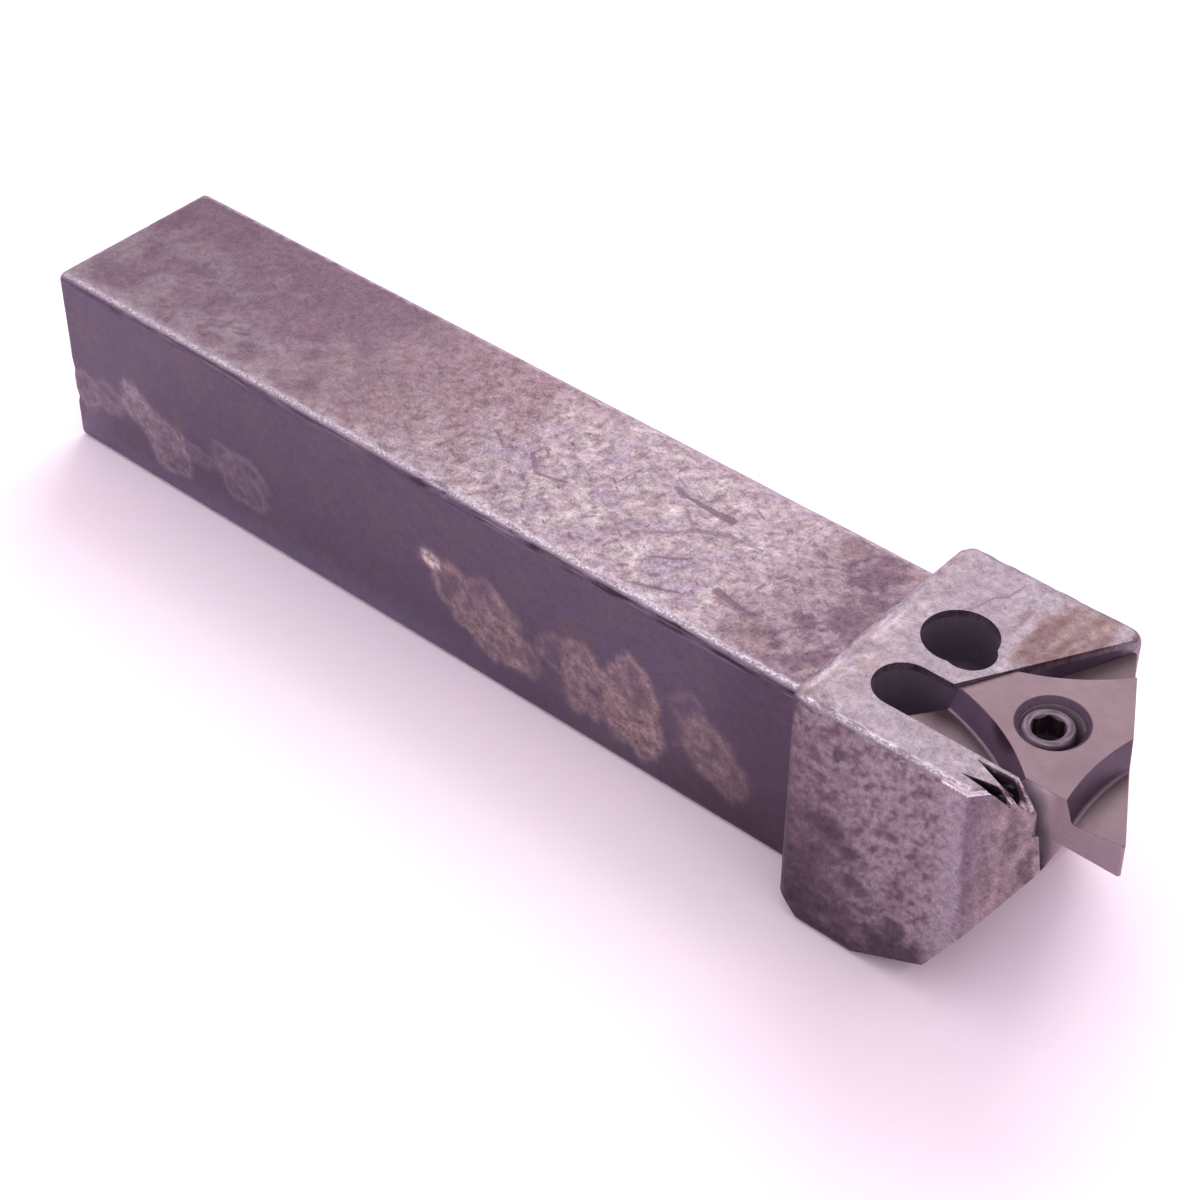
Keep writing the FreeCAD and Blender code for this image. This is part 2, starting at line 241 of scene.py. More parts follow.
def wear_depth(points, wear):
    """How deep the surface is worn, in millimetres: waves all over, nicks at edges, chips and dents."""
    x, y, z = points.T
    clear_of_base = smoothstep(0.2, 0.9, z)
    depth = 0.02 * (1 + waves(points, 14, 1))
    on_top = smoothstep(shank_top - 0.3, shank_top - 0.05, z) * (x < head_rear - 0.2)
    hammered = on_top * smoothstep(-12, 14, x) * (1 - 0.6 * smoothstep(48, 58, x))
    depth += hammered * 0.035 * (1 + waves(points, 3.2, 2)) + hammered * 0.02 * (1 + waves(points, 1.6, 3))
    battered = 0.3 + 0.7 * smoothstep(-8, 8, x)
    depth += wear * battered * 0.05 * np.maximum(0, waves(points, 1.1, 4))
    depth += wear * 0.02 * (1 + waves(points, 9, 5))
    head_rim = wear * (z > head_top - 1.5) * (x > head_rear)
    depth += head_rim * 0.16 * np.maximum(0, waves(points, 2.0, 6))
    for (cx, cy, cz), half_length, reach, deep in chips:
        upright = cx == shank_rear
        along = (z - cz if upright else x - cx) / half_length
        across = np.hypot(y - cy, x - cx if upright else z - cz) / reach
        depth += deep * np.clip(1 - along**2 - across**2, 0, 1) ** 0.7
    for (cx, cy), half_length, half_width, turn, deep in top_dents:
        angle = math.radians(turn)
        along = ((x - cx) * math.cos(angle) + (y - cy) * math.sin(angle)) / half_length
        across = ((y - cy) * math.cos(angle) - (x - cx) * math.sin(angle)) / half_width
        depth += on_top * deep * np.clip(1 - along**2 - across**2, 0, 1) ** 0.6
    return np.maximum(depth, 0) * clear_of_base


# Planes that cut the base's two near corners away: three places on each
heel_places = np.array([
    [(69.5, head_near, 0), (79.6, head_near, 4.99), (76.8, head_near + 5.0, 0)],
    [(head_rear, head_near, 4.0), (head_rear + 3.8, head_near, 0), (head_rear, head_near + 3.6, 0)],
])


def outside_depth(points):
    """How far each point lies inside the planes that the outside of the head and shank follows."""
    planes = [
        ((0, 0, head_top), (0, 0, 1)),
        ((0, head_near, 0), (0, -1, 0)),
        ((0, far_side, 0), (0, 1, 0)),
        ((0, 0, 0), (0, 0, -1)),
        (bevel_point, bevel_normal),
        (chin_point, chin_normal),
        (front_point, front_normal),
        ((head_rear, 0, 0), (-1, 0, 0)),
    ]
    for first, second, third in heel_places:
        square = np.cross(second - first, third - first)
        square *= -math.copysign(1, square[2]) / np.linalg.norm(square)
        planes.append((first, square))
    return np.min([(np.array(point) - points) @ np.array(normal) for point, normal in planes], axis=0)


def read_vectors(items, name, kind=float):
    """A property of all points or faces, as rows of three numbers."""
    values = np.empty(len(items) * 3, dtype=kind)
    items.foreach_get(name, values)
    return values.reshape(-1, 3)


def put_values(mesh, name, domain, values):
    """Stores one number for every point or face."""
    layer = mesh.attributes.new(name, "FLOAT", domain)
    layer.data.foreach_set("value", values.astype(np.float32))


def put_colours(mesh, name, colours):
    """Stores one colour for every point."""
    layer = mesh.attributes.new(name, "FLOAT_COLOR", "POINT")
    opaque = np.column_stack([colours, np.ones(len(colours))])
    layer.data.foreach_set("color", opaque.astype(np.float32).ravel())


# Dried stains on the shank's near side: middle along and up, reach along and up, thickness of the rim,
# how far the middle is filled, and strength
side_stains = [
    ((-57.4, 8.4), (1.9, 2.2), 0.9, 0.3, 0.45),
    ((-53.2, 9.4), (2.8, 1.9), 1.1, 0.6, 0.30),
    ((-47.2, 10.7), (2.5, 2.4), 1.1, 0.55, 0.80),
    ((-44.6, 9.6), (2.2, 2.0), 1.2, 0.8, 0.60),
    ((-42.0, 7.6), (3.6, 3.5), 1.2, 0.55, 0.75),
    ((-36.6, 8.6), (3.6, 1.3), 1.2, 0.6, 0.28),
    ((-31.4, 10.4), (2.0, 1.9), 0.8, 0.25, 0.35),
    ((-28.0, 8.5), (4.0, 3.6), 1.1, 0.40, 0.42),
    ((4.1, 13.9), (1.2, 0.9), 1.3, 1.0, 1.00),
    ((6.7, 11.3), (2.4, 2.9), 0.9, 0.10, 0.80),
    ((11.8, 13.2), (2.6, 1.9), 1.0, 0.5, 0.50),
    ((14.8, 11.2), (2.6, 2.2), 1.0, 0.6, 0.65),
    ((14.2, 7.4), (3.7, 2.9), 1.3, 0.7, 0.80),
    ((10.2, 9.0), (2.6, 2.4), 1.2, 0.6, 0.60),
    ((19.2, 7.6), (1.9, 1.8), 0.9, 0.3, 0.50),
    ((23.6, 10.6), (2.5, 2.3), 0.8, 0.20, 0.40),
    ((27.2, 11.8), (2.0, 2.2), 1.2, 0.6, 0.70),
    ((28.8, 8.2), (3.4, 3.6), 1.3, 0.65, 0.80),
    ((35.2, 11.9), (3.0, 4.2), 1.1, 0.25, 1.00),
    ((32.6, 7.4), (2.0, 3.0), 1.4, 0.8, 0.80),
    ((36.9, 6.2), (1.6, 3.0), 1.3, 0.8, 0.90),
    ((43.2, 13.2), (2.2, 2.4), 1.0, 0.3, 0.25),
    ((45.4, 10.2), (3.2, 3.4), 1.5, 0.7, 0.55),
    ((49.2, 7.4), (2.2, 2.6), 1.3, 0.7, 0.45),
]

# The palest fleck of deposit, a short stroke between two places
pale_fleck = ((3.6, shank_near, 14.2), (4.8, shank_near, 13.6))


def side_stain(points):
    """Share of dried deposit: for each stain a rim where the swaying distance is one, and a faint middle."""
    x, y, z = points.T
    sway = 0.20 * waves(points, 5, 61) + 0.10 * waves(points, 1.9, 62)
    filling = 0.75 + 0.5 * clouds(points, 2.4, 63)
    share = np.zeros(len(points))
    for (cx, cz), (along, up), rim, fill, strength in side_stains:
        distance = np.hypot((x - cx) / along, (z - cz) / up) + sway
        thickness = 1.2 * rim / (along + up)
        ring = np.exp(-(((distance - 1) / thickness) ** 2)) * (0.75 + 0.25 * filling)
        middle = (0.15 + fill) * (1 - smoothstep(0.75, 1.05, distance)) * filling
        share = np.maximum(share, strength * np.maximum(ring, middle))
    return np.clip(1.1 * share, 0, 1) * (y < shank_near + 0.2) * (x < head_rear - 0.2)


def srgb(red, green, blue):
    """A colour given as it looks on a screen, 0 to 255, as the linear values that shaders use."""
    shares = np.array([red, green, blue]) / 255
    linear = np.where(shares <= 0.04045, shares / 12.92, ((shares + 0.055) / 1.055) ** 2.4)
    return (*linear.tolist(), 1.0)


def lay(paint, colour, share):
    """Mixes a colour into the paint, point by point."""
    paint += (np.array(colour[:3]) - paint) * np.clip(share, 0, 1)[:, None]


def lay_oxide(paint, points):
    """Sides and base: violet oxide, clouded brown and blue, a painted bluish reflection low at the rear, dark
    by the head.
    """
    x, _, z = points.T
    lay(paint, srgb(102, 88, 97), 0.6 * smoothstep(0, 0.8, clouds(points, 8, 20, 4)))
    lay(paint, srgb(96, 83, 107), 0.5 * smoothstep(0, 0.8, clouds(points, 7, 30, 4)))
    # Painted reflection: a bluish tint low on the sides towards the rear
    low = 1 - smoothstep(0.5, 6, z)
    lay(paint, srgb(116, 106, 128), 0.8 * low * (1 - smoothstep(-5, 20, x)))
    by_head = smoothstep(42, 52, x) * (x < head_rear)
    lay(paint, srgb(84, 68, 86), 0.85 * by_head)
    lay(paint, srgb(82, 64, 76), 0.85 * (1 - smoothstep(2, 12, z)) * smoothstep(30, 50, x) * (x < head_rear))


def lay_shank_top(paint, points, here):
    """Top of the shank: clouded mauve at the rear, brown crumbs, a bright hammered middle, a brown front."""
    x, y, _ = points.T
    across = (y - shank_near) / (far_side - shank_near)
    broad = clouds(points, 11, 40)
    patches = clouds(points, 4.0, 43, 4)
    crumbs = clouds(points, 2.2, 47, 3)
    lay(paint, srgb(106, 87, 99), here)
    lay(paint, srgb(121, 106, 114), here * smoothstep(-0.3, 0.9, broad + 0.7 - 1.4 * across))
    lay(paint, srgb(111, 101, 108), 0.5 * here * smoothstep(0.2, 0.9, clouds(points, 7, 50)))
    lay(paint, srgb(114, 90, 100), 0.6 * here * smoothstep(0.1, 0.9, clouds(points, 5, 59)))
    lay(paint, srgb(92, 72, 84), 0.65 * here * smoothstep(0.3, 1.1, patches))
    far_rear = smoothstep(0.3, 0.8, across + 0.15 * patches) * (1 - smoothstep(-8, 8, x))
    lay(paint, srgb(96, 76, 89), 0.6 * here * far_rear)
    middle = here * smoothstep(-26, -8, x + 5 * broad - 8 * (across - 0.4))
    lay(paint, srgb(123, 104, 110), 0.8 * middle)
    lay(paint, srgb(104, 84, 88), 0.8 * middle * smoothstep(0.1, 0.8, crumbs))
    bright = here * smoothstep(-6, 9, x + 6 * broad - 12 * (across - 0.35))
    lay(paint, srgb(134, 120, 125), bright)
    lay(paint, srgb(152, 141, 143), 0.8 * bright * smoothstep(0.1, 1.0, patches))
    lay(paint, srgb(124, 110, 124), 0.8 * bright * smoothstep(0.1, 0.9, -patches))
    lay(paint, srgb(110, 88, 96), 0.75 * bright * smoothstep(0.35, 0.95, crumbs))
    front = here * smoothstep(38, 50, x + 4 * broad + 4 * (across - 0.5))
    lay(paint, srgb(115, 97, 105), 0.85 * front)
    lay(paint, srgb(84, 64, 78), 0.95 * front * smoothstep(45, 54, x + 10 * patches))
    lay(paint, srgb(106, 88, 90), 0.6 * front * smoothstep(0.2, 0.9, clouds(points, 6, 53)))
    lay(paint, srgb(124, 108, 116), 0.6 * front * smoothstep(0.5, 1.1, clouds(points, 5, 56)))
    from_edge = y - shank_near + 0.5 * crumbs
    beside_edge = (1 - smoothstep(0.5, 2.4, from_edge)) * (1 - 0.7 * smoothstep(40, 48, x))
    lay(paint, srgb(146, 134, 142), 0.75 * here * beside_edge)
    rear_rim = here * (1 - smoothstep(shank_rear + 0.5, shank_rear + 4.5, x + 6 * across))
    lay(paint, srgb(134, 124, 130), 0.7 * rear_rim)


# Stain on the head's top: middle, and reach along and across
top_stain = ((77.3, 6.4), (4.6, 7.0))


def lay_head_top(paint, points, here):
    """Top of the head: pale, drawn across by grinding, flaky along the rear edge, with one rusty stain."""
    x, y, _ = points.T
    drawn = points * (1.0, 0.22, 1.0)
    streaks = clouds(drawn, 1.5, 70)
    lay(paint, srgb(121, 109, 117), here)
    lay(paint, srgb(131, 121, 128), 0.7 * here * smoothstep(0, 1.0, clouds(points, 4, 73)))
    lay(paint, srgb(112, 99, 108), 0.5 * here * smoothstep(0.1, 1.0, streaks))
    rear = here * (1 - smoothstep(63.5, 67.5, x + 0.15 * (y + 18)))
    lay(paint, srgb(130, 112, 108), 0.7 * rear * smoothstep(-0.2, 0.7, streaks))
    lay(paint, srgb(152, 142, 148), 0.8 * rear * smoothstep(0.3, 0.9, clouds(drawn, 1.9, 76)))
    lay(paint, srgb(100, 84, 86), 0.7 * rear * smoothstep(0.4, 0.9, clouds(drawn, 1.3, 79)))
    (cx, cy), (along, across) = top_stain
    reach = np.hypot((x - cx) / along, (y - cy) / across) + 0.28 * clouds(drawn, 2.4, 82)
    stain = here * (1 - smoothstep(0.75, 1.15, reach))
    lay(paint, srgb(100, 80, 81), 0.92 * stain)
    lay(paint, srgb(88, 66, 68), 0.7 * stain * smoothstep(0.1, 0.8, streaks))
    lay(paint, srgb(122, 106, 104), 0.6 * stain * smoothstep(0.1, 0.8, -streaks))


# Dark spots on the head's near face: middle along and up, reach along and up
side_spots = [
    ((67.0, 27.2), (0.7, 1.0)),
    ((74.3, 20.4), (0.8, 0.7)),
    ((70.2, 11.0), (1.2, 1.0)),
    ((75.6, 7.6), (1.5, 1.3)),
    ((66.4, 16.4), (2.6, 1.6)),
    ((69.4, 14.8), (1.6, 1.0)),
]


def lay_head_sides(paint, points, here):
    """Sides of the head: blotched mauve, painted shade towards the lower rear and painted light beside the
    bevel, a dark ragged band low down, streaked level near the rear edge.
    """
    x, _, z = points.T
    # Painted light and shade: darker towards the lower rear corner, lighter towards the front and the top
    light = 0.7 * (x - head_rear) / 22 + 0.5 * z / head_top
    blotches = clouds(points, 4.5, 90, 4)
    flecks = clouds(points, 1.6, 94)
    level = clouds(points * (0.18, 1, 1), 1.1, 97)
    lay(paint, srgb(147, 133, 141), here)
    lay(paint, srgb(128, 108, 120), 0.7 * here * smoothstep(0.1, 0.9, blotches))
    lay(paint, srgb(102, 84, 95), 0.85 * here * (1 - smoothstep(0.34, 0.66, light + 0.12 * blotches)))
    lay(paint, srgb(76, 61, 76), 0.92 * here * (1 - smoothstep(0.20, 0.46, light + 0.10 * blotches)))
    lay(paint, srgb(96, 74, 87), 0.8 * here * smoothstep(0.35, 0.85, flecks))
    lay(paint, srgb(96, 74, 88), 0.6 * here * smoothstep(0.35, 0.9, clouds(points, 0.9, 99, 2)))
    # Painted light on the near face beside the bevel
    lit_beside_bevel = smoothstep(bevel_start - 3.4, bevel_start - 1.6, x + 0.4 * blotches)
    lay(paint, srgb(160, 148, 158), 0.6 * here * lit_beside_bevel)
    streaked = here * (1 - smoothstep(66, 73, x)) * smoothstep(12, 18, z)
    lay(paint, srgb(98, 78, 92), 0.6 * streaked * smoothstep(0.2, 0.8, level))
    for (cx, cz), (along, up) in side_spots:
        distance = np.hypot((x - cx) / along, (z - cz) / up) + 0.25 * flecks
        lay(paint, srgb(74, 58, 74), 0.8 * here * (1 - smoothstep(0.6, 1.2, distance)))
    foot = 1 - smoothstep(1.8, 5.2, z - 0.45 * np.maximum(0, x - 70) + 1.2 * blotches + 0.5 * flecks)
    lay(paint, srgb(72, 56, 68), 0.9 * here * foot * (1 - smoothstep(78, 81, x)))


def lay_bevel(paint, points, here):
    """Bevel beside the tip: browner than the near face, smudged towards the torn corner."""
    x, _, z = points.T
    upright = points * (1, 1, 0.3)
    lay(paint, srgb(144, 127, 132), here)
    lay(paint, srgb(122, 104, 108), 0.8 * here * smoothstep(0.0, 0.9, clouds(points, 3.6, 110)))
    lay(paint, srgb(156, 142, 142), 0.6 * here * smoothstep(0.2, 0.9, clouds(points, 4.4, 113)))
    by_edge = (1 - smoothstep(bevel_start + 0.3, bevel_start + 3.2, x)) * smoothstep(6, 16, z)
    lay(paint, srgb(114, 98, 114), 0.85 * here * by_edge)
    smudge = smoothstep(83.5, 86.5, x) * smoothstep(11, 18, z)
    lay(paint, srgb(88, 70, 76), 0.7 * here * smudge * smoothstep(0.1, 0.8, clouds(upright, 1.6, 116)))


def head_and_top(points):
    """How far each point belongs to the head and to the shank's top, 0 to 1."""
    x, _, z = points.T
    on_head = smoothstep(head_rear - 0.1, head_rear + 0.2, x)
    on_shank_top = smoothstep(shank_top - 0.6, shank_top - 0.1, z) * (1 - on_head)
    return on_head, on_shank_top


def painted(points, deposit):
    """Colour of the steel, place by place, before the fine grain, with painted light and shade on the head's
    near face and a painted reflection low on the shank; the deposit is the share of dried stain.
    """
    x, _, z = points.T
    paint = np.tile(srgb(96, 82, 101)[:3], (len(points), 1))
    lay_oxide(paint, points)
    on_head, on_shank_top = head_and_top(points)
    on_bevel = 1 - smoothstep(0.25, 0.6, (bevel_point - points) @ bevel_normal)
    lay_head_sides(paint, points, on_head)
    lay_bevel(paint, points, on_head * on_bevel * smoothstep(bevel_start - 0.3, bevel_start + 0.4, x))
    lay_shank_top(paint, points, on_shank_top)
    lay_head_top(paint, points, smoothstep(head_top - 0.6, head_top - 0.1, z))
    tan = smoothstep(-20, 10, x)
    reddish = smoothstep(-0.2, 0.9, clouds(points, 3.0, 130))
    lay(paint, srgb(152, 139, 146), 0.9 * deposit * (1 - tan))
    lay(paint, srgb(158, 137, 135), 0.9 * deposit * tan)
    lay(paint, srgb(128, 100, 108), 0.55 * deposit * reddish)
    at_fleck = 1 - smoothstep(1, 2, from_segment(points, *pale_fleck))
    lay(paint, srgb(200, 184, 182), smoothstep(0.7, 0.95, deposit) * at_fleck)
    return paint


def roughened(points, deposit):
    """How strongly the fine grain shows: least on the dark sides, most where the top is hammered."""
    on_head, on_shank_top = head_and_top(points)
    hammered = smoothstep(-24, 8, points[:, 0])
    return 0.30 + on_shank_top * (0.30 + 0.45 * hammered) + 0.5 * on_head + 0.9 * deposit


def worn_holder():
    """The holder with its dents, chips and torn metal, which stands in for the plain solid."""
    mesh = gridded_copy("holder")
    places = read_vectors(mesh.vertices, "co")
    normals = read_vectors(mesh.vertex_normals, "vector", np.float32)
    centres = read_vectors(mesh.polygons, "center") / MM
    points = places / MM
    x, y, z = points.T
    wear = edge_wear(points)
    inside = outside_depth(points)
    at_tear = smoothstep(tear_start - 0.5, tear_start + 1.5, x) * (y < tear_inner) * (z > tear_bottom)
    torn_in = at_tear * smoothstep(0.05, 0.3, inside)
    depth = wear_depth(points, wear) * (1 - at_tear * 0.7)
    depth += torn_in * 0.10 * (1 + waves(points, 1.3, 8))
    moved = places - normals * (depth * MM)[:, None]
    mesh.vertices.foreach_set("co", moved.ravel())
    put_values(mesh, "edge", "POINT", wear)
    deposit = side_stain(points)
    put_values(mesh, "rough", "POINT", roughened(points, deposit))
    put_colours(mesh, "paint", painted(points, deposit))
    # Depth inside the torn cheek, which the material paints as shade in the gouges
    put_values(mesh, "gouge_shade", "POINT", at_tear * smoothstep(0.15, 0.50, inside))
    x, y, z = centres.T
    inside = outside_depth(centres)
    torn = (x > tear_start) & (y < tear_inner) & (z > tear_bottom) & (inside > 0.12)
    put_values(mesh, "torn", "FACE", torn)
    # Faces deep inside the head, which the material paints with light and shade
    put_values(mesh, "inside", "FACE", smoothstep(0.7, 1.0, inside) * (x > head_rear) * ~torn)
    mesh.update()
    mesh.shade_smooth()
    mesh.set_sharp_from_angle(angle=smooth_angle)
    mesh.materials.append(holder_material())
    piece = bpy.data.objects.new("holder_worn", mesh)
    bpy.context.scene.collection.objects.link(piece)
    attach(piece, "holder")
    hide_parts("holder")


def node(tree, kind, inputs=None, **settings):
    """A new node with its settings and inputs; an input is a value or another node's output."""
    made = tree.nodes.new(kind)
    for name, value in settings.items():
        setattr(made, name, value)
    for key, value in (inputs or {}).items():
        if isinstance(value, bpy.types.NodeSocket):
            tree.links.new(value, made.inputs[key])
        else:
            made.inputs[key].default_value = value
    return made


def reckon(tree, operation, *values):
    """The result of one calculation with numbers."""
    return node(tree, "ShaderNodeMath", dict(enumerate(values)), operation=operation).outputs[0]


def product(tree, *values):
    """The product of several numbers."""
    result = values[0]
    for value in values[1:]:
        result = reckon(tree, "MULTIPLY", result, value)
    return result


def vector_sum(tree, operation, first, second):
    """The node of one calculation with vectors."""
    return node(tree, "ShaderNodeVectorMath", {0: first, 1: second}, operation=operation)


def ramp(tree, value, low, high, start=0.0, end=1.0):
    """A value carried along an S-curve: start at low, end at high."""
    inputs = {"Value": value, "From Min": low, "From Max": high, "To Min": start, "To Max": end}
    return node(tree, "ShaderNodeMapRange", inputs, interpolation_type="SMOOTHSTEP").outputs["Result"]


# Sockets of the mix node that carry its share, its two colours and the colour that results
MIX_SHARE, MIX_FIRST, MIX_SECOND, MIX_RESULT = 0, 6, 7, 2


def blend(tree, share, first, second):
    """Two colours mixed by a share."""
    inputs = {MIX_SHARE: share, MIX_FIRST: first, MIX_SECOND: second}
    return node(tree, "ShaderNodeMix", inputs, data_type="RGBA").outputs[MIX_RESULT]


def noise(tree, place, size, detail=3.0, roughness=0.55):
    """Cloudy noise whose lumps are about as large as the size."""
    inputs = {"Vector": place, "Scale": 1 / size, "Detail": detail, "Roughness": roughness}
    return node(tree, "ShaderNodeTexNoise", inputs).outputs[0]


def stretched(tree, place, stretch):
    """A place drawn out along the axes, so that a texture becomes streaks."""
    return vector_sum(tree, "DIVIDE", place, stretch).outputs[0]


def new_group(name, inputs, outputs):
    """An empty node group with its sockets, and the nodes that bring them in and out."""
    tree = bpy.data.node_groups.new(name, "ShaderNodeTree")
    for label, kind in inputs.items():
        tree.interface.new_socket(label, in_out="INPUT", socket_type=kind)
    for label, kind in outputs.items():
        tree.interface.new_socket(label, in_out="OUTPUT", socket_type=kind)
    return tree, tree.nodes.new("NodeGroupInput").outputs, tree.nodes.new("NodeGroupOutput").inputs


FLOAT, VECTOR = "NodeSocketFloat", "NodeSocketVector"


def mottle_group():
    """Patches at three sizes: a cloudy share, fine grain and sparse dark specks."""
    tree, given, result = new_group(
        "mottle", {"Place": VECTOR, "Size": FLOAT}, {"Cloud": FLOAT, "Grain": FLOAT, "Specks": FLOAT}
    )
    scaled = node(tree, "ShaderNodeVectorMath", {0: given["Place"]}, operation="SCALE")
    tree.links.new(reckon(tree, "DIVIDE", 1.0, given["Size"]), scaled.inputs["Scale"])
    place = scaled.outputs[0]
    broad = noise(tree, place, 1.0, 5.0, 0.62)
    fine = noise(tree, place, 0.07, 3.0, 0.6)
    lumps = noise(tree, place, 0.16, 4.0, 0.7)
    tree.links.new(ramp(tree, broad, 0.36, 0.66), result["Cloud"])
    tree.links.new(fine, result["Grain"])
    tree.links.new(ramp(tree, lumps, 0.60, 0.72), result["Specks"])
    return tree


def wear_group():
    """Where metal is bare at an edge: the edge's own wear, broken up by noise."""
    tree, given, result = new_group("bare_edges", {"Place": VECTOR, "Edge": FLOAT}, {"Mask": FLOAT})
    rough = noise(tree, given["Place"], 1.4, 5.0, 0.68)
    sway = reckon(tree, "SUBTRACT", rough, 0.5)
    broken = reckon(tree, "MULTIPLY_ADD", sway, 1.3, given["Edge"])
    tree.links.new(ramp(tree, broken, 0.35, 0.85), result["Mask"])
    return tree


def scar_group():
    """A scratch or gouge on a face: a stroke between two places whose half width grows along it."""
    tree, given, result = new_group(
        "scar",
        {"Place": VECTOR, "Start": VECTOR, "End": VECTOR, "Width": FLOAT, "Spread": FLOAT},
        {"Mask": FLOAT},
    )
    along = vector_sum(tree, "SUBTRACT", given["End"], given["Start"]).outputs[0]
    off = vector_sum(tree, "SUBTRACT", given["Place"], given["Start"]).outputs[0]
    length = vector_sum(tree, "DOT_PRODUCT", along, along).outputs["Value"]
    shadow = vector_sum(tree, "DOT_PRODUCT", off, along).outputs["Value"]
    ratio = {0: shadow, 1: length}
    share = node(tree, "ShaderNodeMath", ratio, operation="DIVIDE", use_clamp=True).outputs[0]
    foot = node(tree, "ShaderNodeVectorMath", {0: along}, operation="SCALE")
    tree.links.new(share, foot.inputs["Scale"])
    distance = vector_sum(tree, "DISTANCE", off, foot.outputs[0]).outputs["Value"]
    width = reckon(tree, "MULTIPLY_ADD", share, given["Spread"], given["Width"])
    ragged = reckon(tree, "MULTIPLY", width, reckon(tree, "ADD", 0.55, noise(tree, given["Place"], 0.5, 3.0)))
    edge = reckon(tree, "DIVIDE", distance, ragged)
    tree.links.new(ramp(tree, edge, 0.55, 1.1, 1.0, 0.0), result["Mask"])
    return tree


def dab_group():
    """Short marks, all turned one way: noise drawn out along a turned axis and cut off above a level."""
    tree, given, result = new_group("dabs", {"Place": VECTOR, "Turn": FLOAT, "Level": FLOAT}, {"Mask": FLOAT})
    turn = {"Vector": given["Place"], "Angle": given["Turn"]}
    turned = node(tree, "ShaderNodeVectorRotate", turn, rotation_type="Z_AXIS").outputs[0]
    drawn = noise(tree, stretched(tree, turned, (3.0, 1.0, 1.0)), 0.85, 2.0, 0.5)
    above = reckon(tree, "SUBTRACT", drawn, given["Level"])
    tree.links.new(ramp(tree, above, 0.0, 0.10), result["Mask"])
    return tree


groups = {"mottle": mottle_group(), "wear": wear_group(), "scar": scar_group(), "dabs": dab_group()}


def use(tree, name, inputs):
    """A node that runs one of the groups."""
    return node(tree, "ShaderNodeGroup", inputs, node_tree=groups[name]).outputs


def new_material(name):
    """A material, its tree, its surface shader and the place on the part in millimetres."""
    material = bpy.data.materials.new(name)
    material.use_nodes = True
    tree = material.node_tree
    coordinates = tree.nodes.new("ShaderNodeTexCoord").outputs["Object"]
    place = vector_sum(tree, "DIVIDE", coordinates, (MM, MM, MM)).outputs[0]
    return material, tree, tree.nodes["Principled BSDF"], place


def attribute(tree, name):
    """A number stored on the mesh."""
    return node(tree, "ShaderNodeAttribute", attribute_name=name).outputs["Fac"]


def finish_surface(tree, shader, colour, dull, height, strength, reach, metallic):
    """Gives a shader its colour, roughness, fine relief of so many millimetres, and share of metal."""
    relief = {"Height": height, "Strength": strength, "Distance": reach * MM}
    bump = node(tree, "ShaderNodeBump", relief)
    tree.links.new(colour, shader.inputs["Base Color"])
    tree.links.new(dull, shader.inputs["Roughness"])
    tree.links.new(bump.outputs["Normal"], shader.inputs["Normal"])
    shader.inputs["Metallic"].default_value = metallic


# Scars on the shank's top: start, end, half width at the start, what it gains by the end, and depth
top_scars = {
    "long wedge": ((27.2, 4.95), (34.6, 4.75), 0.15, 0.55, 1.0),
    "its head": ((26.2, 5.3), (27.6, 4.7), 0.45, 0.1, 0.8),
    "short wedge": ((46.2, -6.2), (40.8, -5.8), 0.12, 0.55, 1.0),
    "bent stroke": ((28.6, -3.2), (32.6, 0.8), 0.35, 0.0, 0.6),
    "bent stroke, middle": ((32.6, 0.8), (35.8, 2.5), 0.35, 0.0, 0.6),
    "bent stroke, end": ((35.8, 2.5), (40.2, 2.9), 0.35, -0.1, 0.6),
    "cross stroke": ((29.4, 3.0), (32.1, 0.9), 0.2, 0.1, 0.6),
    "level stroke": ((31.8, -5.8), (35.3, -3.2), 0.28, -0.1, 0.8),
    "near stroke": ((33.0, -10.6), (37.8, -8.6), 0.28, -0.1, 0.8),
    "curl, first": ((9.5, -0.8), (12.2, -3.2), 0.35, 0.0, 0.8),
    "curl, second": ((12.2, -3.2), (15.9, -2.2), 0.35, -0.1, 0.8),
    "notch": ((29.9, -9.3), (30.5, -8.8), 0.35, 0.0, 0.8),
    "small notch": ((33.6, -8.3), (34.2, -7.8), 0.32, 0.0, 0.7),
    "far notch": ((44.5, 0.4), (44.9, 1.2), 0.32, 0.0, 0.8),
    "rear nick": ((-33.9, -6.8), (-32.4, -6.2), 0.25, 0.1, 0.7),
    "rear stroke": ((-46.6, -1.2), (-43.9, -0.2), 0.22, 0.0, 0.5),
    "dash": ((21.4, -5.9), (22.4, -4.6), 0.25, 0.0, 0.6),
    "second dash": ((27.3, -4.0), (28.3, -3.1), 0.25, 0.0, 0.6),
}

# Crack across the head's top: its places in turn, and its half width
head_crack = [(66.9, 3.3), (67.8, 6.6), (68.8, 7.6), (69.2, 10.2)]
crack_width = 0.16


def stroke(tree, place, start, end, width, spread):
    """One scar on a level face, as a mask."""
    inputs = {"Place": place, "Start": (*start, 0), "End": (*end, 0), "Width": width, "Spread": spread}
    return use(tree, "scar", inputs)["Mask"]


def strongest(tree, masks):
    """The largest of several masks."""
    result = masks[0]
    for mask in masks[1:]:
        result = reckon(tree, "MAXIMUM", result, mask)
    return result


def shaded(tree, colour, amount):
    """A colour made lighter or darker by a factor of one plus an amount."""
    scaled = node(tree, "ShaderNodeVectorMath", {0: colour}, operation="SCALE")
    tree.links.new(reckon(tree, "ADD", amount, 1.0), scaled.inputs["Scale"])
    return scaled.outputs[0]


